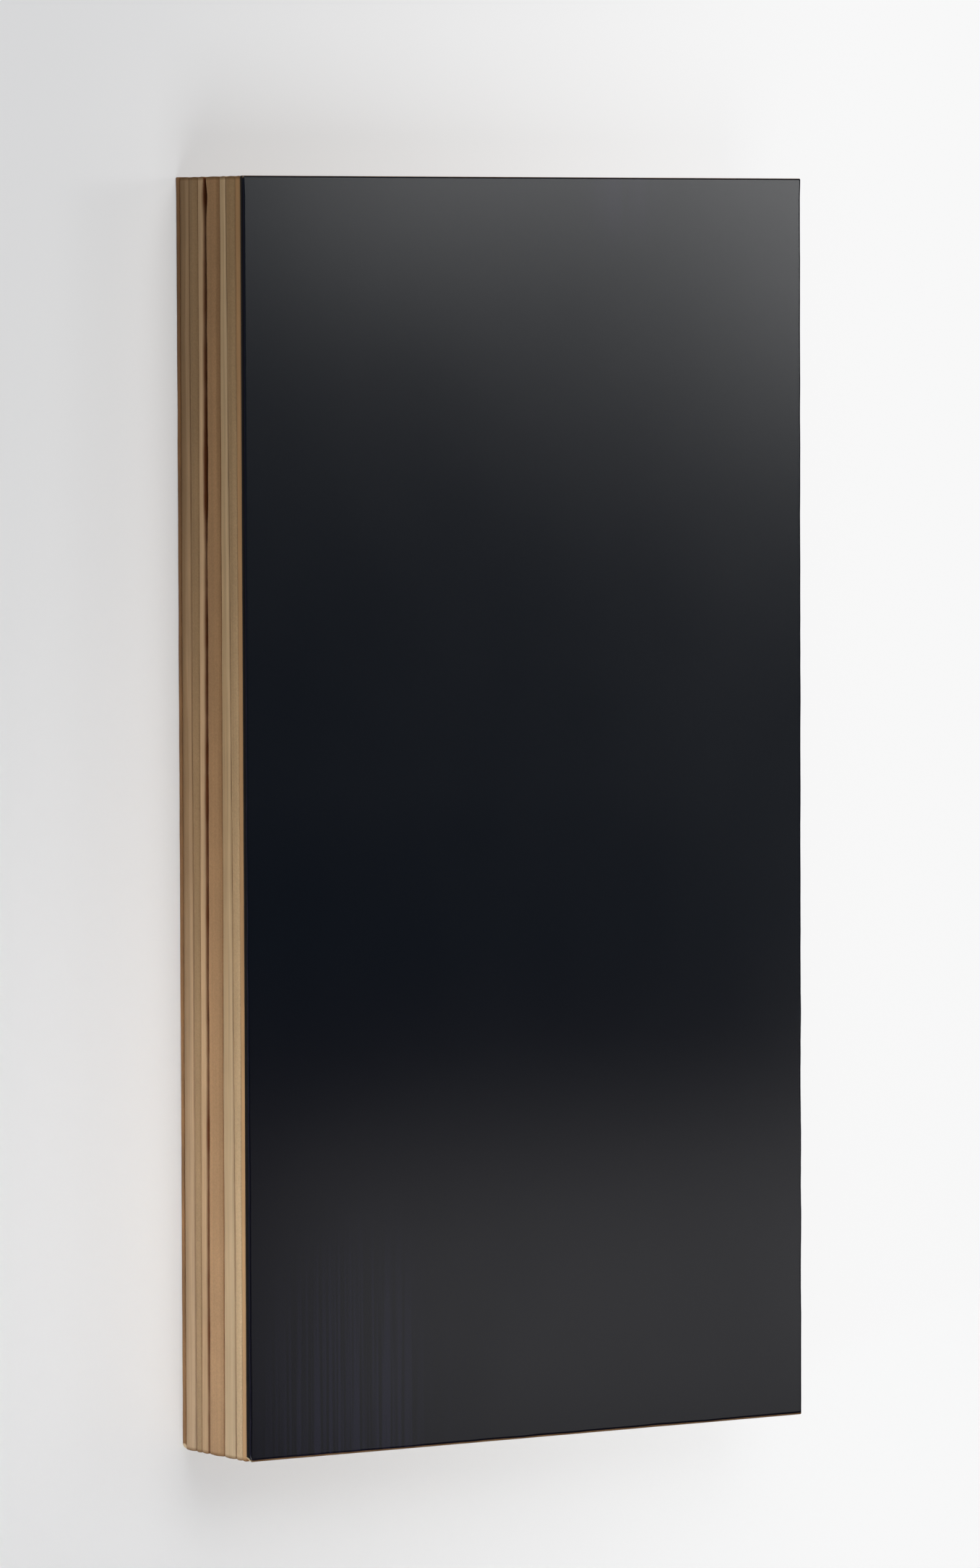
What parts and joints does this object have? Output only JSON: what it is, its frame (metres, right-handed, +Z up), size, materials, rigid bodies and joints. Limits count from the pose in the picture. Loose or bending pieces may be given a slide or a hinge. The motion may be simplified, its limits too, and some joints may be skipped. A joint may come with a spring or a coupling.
{
  "type": "laminate-faced plywood panel",
  "caption": "Flat rectangular offcut of plywood with a black satin laminate face, a brown backing laminate and bare sawn edges that show its veneers.",
  "frame": {"origin": "middle of the underside, on the surface that the panel lies on", "axes": "+Z up out of the black face, +Y along the panel's length, +X across its width"},
  "size_m": [0.095, 0.18, 0.018],
  "materials": {
    "black_face_laminate": "satin",
    "brown_backing_laminate": "matte",
    "pale_veneer": "sawn",
    "grey_brown_veneer": "sawn",
    "tan_veneer": "sawn",
    "warm_brown_veneer": "sawn",
    "bright_veneer": "sawn",
    "rosy_veneer": "sawn"
  },
  "bodies": {
    "root": {"back_laminate": "brown_backing_laminate", "back_veneer": "pale_veneer", "back_crossband": "grey_brown_veneer", "back_inner_ply": "tan_veneer", "core_ply": "warm_brown_veneer", "face_inner_ply": "pale_veneer", "face_crossband": "bright_veneer", "face_veneer": "rosy_veneer", "face_laminate": "black_face_laminate"}
  },
  "joints": []
}
